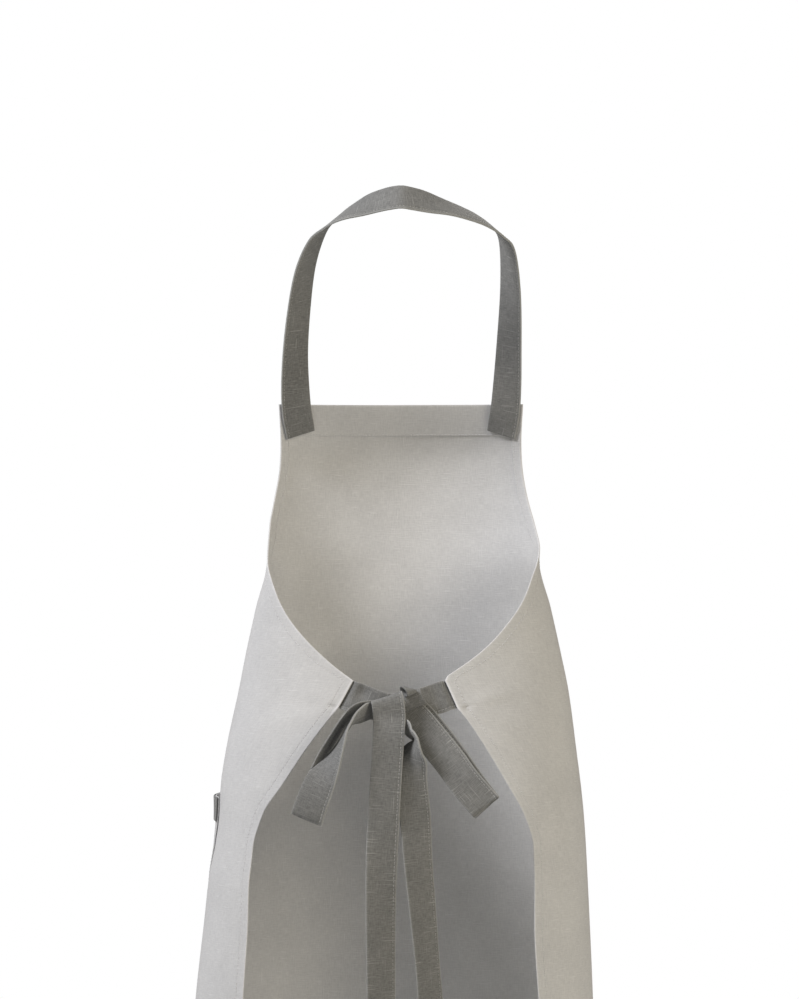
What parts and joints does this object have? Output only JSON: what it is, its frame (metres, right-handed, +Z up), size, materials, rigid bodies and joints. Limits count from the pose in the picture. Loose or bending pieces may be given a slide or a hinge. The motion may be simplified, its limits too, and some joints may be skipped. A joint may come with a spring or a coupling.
{
  "type": "cotton bib apron",
  "caption": "Bib apron of light grey cotton with a dark neck strap, waist ties in a bow at the back and a banded hip pocket, in the form it has when worn.",
  "frame": {"origin": "the nape: the middle of the neck strap's inner face at the back of the neck", "axes": "+Z up, +Y the way the wearer faces, +X to the wearer's right"},
  "size_m": [0.4005, 0.267, 1.0441],
  "materials": {
    "light_cotton": "plain-woven light grey cotton, matt",
    "dark_cotton": "slub-woven dark grey cotton tape, matt"
  },
  "bodies": {
    "root": {"apron_panel": "light_cotton", "hip_pocket": "light_cotton", "pocket_band": "dark_cotton", "neck_strap": "dark_cotton", "waist_tie_left": "dark_cotton", "waist_tie_right": "dark_cotton", "bow_knot": "dark_cotton", "bow_loop_left": "dark_cotton", "bow_loop_right": "dark_cotton", "tie_tail_front": "dark_cotton", "tie_tail_back": "dark_cotton"}
  },
  "joints": []
}
